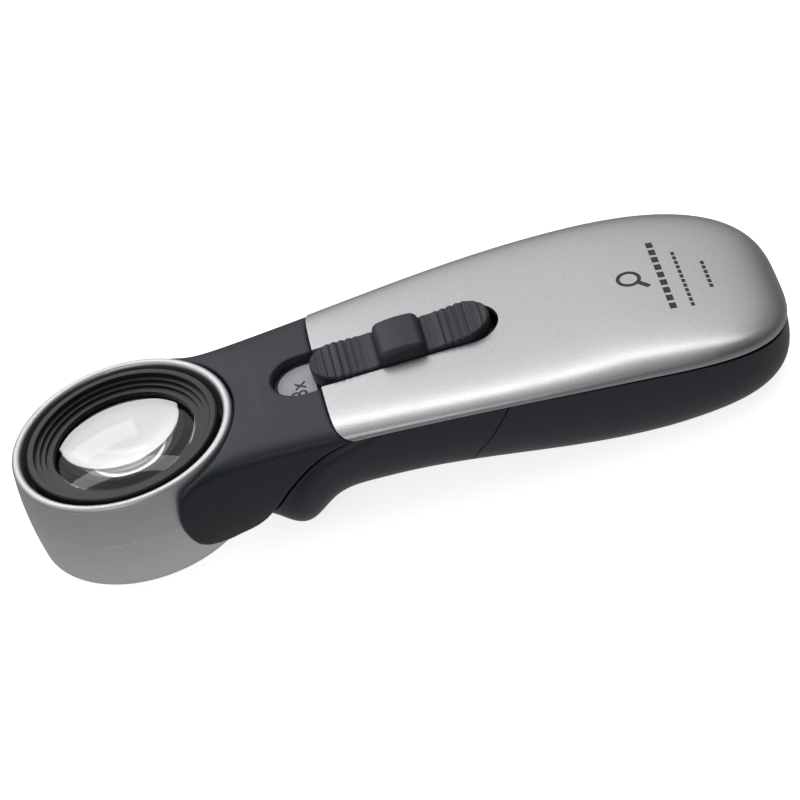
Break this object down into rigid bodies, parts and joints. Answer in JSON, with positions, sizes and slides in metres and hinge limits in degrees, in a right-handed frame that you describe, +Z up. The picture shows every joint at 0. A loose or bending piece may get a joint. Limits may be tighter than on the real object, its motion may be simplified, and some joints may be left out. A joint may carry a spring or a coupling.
{
  "type": "illuminated hand lens",
  "caption": "Lighted hand lens: a round lens head on a contoured battery handle with a slide switch, a lift-off battery cover and a head that pulls off.",
  "frame": {"origin": "middle of the length and width, on the surface that the lens lies on", "axes": "+X from the lens head towards the handle's tail, +Z up through the lens, Y across"},
  "size_m": [0.1725, 0.0578, 0.0318],
  "materials": {
    "silver": "satin silver",
    "silver_foot": "satin silver",
    "silver_cover": "fine-grained satin silver paint on a moulded cover",
    "grey_plastic": "satin slate grey",
    "grip_plastic": "satin near-black",
    "black_plastic": "matt black",
    "slider_plastic": "fine-textured near-black",
    "label_plastic": "pale grey printed plate",
    "lens_glass": "polished and coated",
    "clear_plastic": "frosted clear plastic",
    "lamp_body": "light-emitting diode",
    "board": "green circuit board",
    "chip_plastic": "moulded chip",
    "coil_core": "ferrite",
    "lead_insulation": "thin insulated wire",
    "contact_brass": "bright contact metal",
    "contact_steel": "nickel-plated spring steel",
    "steel": "plain steel",
    "cell_wrap": "printed wrap, left plain"
  },
  "bodies": {
    "handle": {"top_cover": "silver_cover", "grip_shell": "grip_plastic", "case_screws": "steel", "battery_tray": "black_plastic", "contact_plates": "contact_steel", "contact_springs": "contact_steel", "socket": "black_plastic", "socket_pins": "contact_brass", "driver_board": "board", "driver_coil": "coil_core", "driver_chip": "chip_plastic", "switch_body": "steel", "battery_1": "cell_wrap", "battery_2": "cell_wrap", "battery_3": "cell_wrap"},
    "head": {"head_ring": "silver", "foot_ring": "silver_foot", "lens_holder": "black_plastic", "lens": "lens_glass", "lens_retainer": "black_plastic", "neck_shell": "grey_plastic", "plug": "black_plastic", "power_plate": "label_plastic", "head_screws": "steel", "light_window": "clear_plastic", "lamp_board": "board", "lamp": "lamp_body", "plug_contacts": "contact_brass", "lamp_leads": "lead_insulation"},
    "slider": {"slider_button": "slider_plastic", "slider_carrier": "black_plastic", "switch_knob": "black_plastic"},
    "battery_lid": {"battery_cover": "grip_plastic"}
  },
  "joints": [
    {"name": "head_pull", "type": "slide", "parent": "handle", "child": "head", "axis": [-1, 0, 0], "range_m": [0, 0.04]},
    {"name": "slider_travel", "type": "slide", "parent": "handle", "child": "slider", "axis": [-1, 0, 0], "range_m": [0, 0.0085]},
    {"name": "battery_lid_lift", "type": "slide", "parent": "handle", "child": "battery_lid", "axis": [0, 0, -1], "range_m": [0, 0.036]}
  ]
}
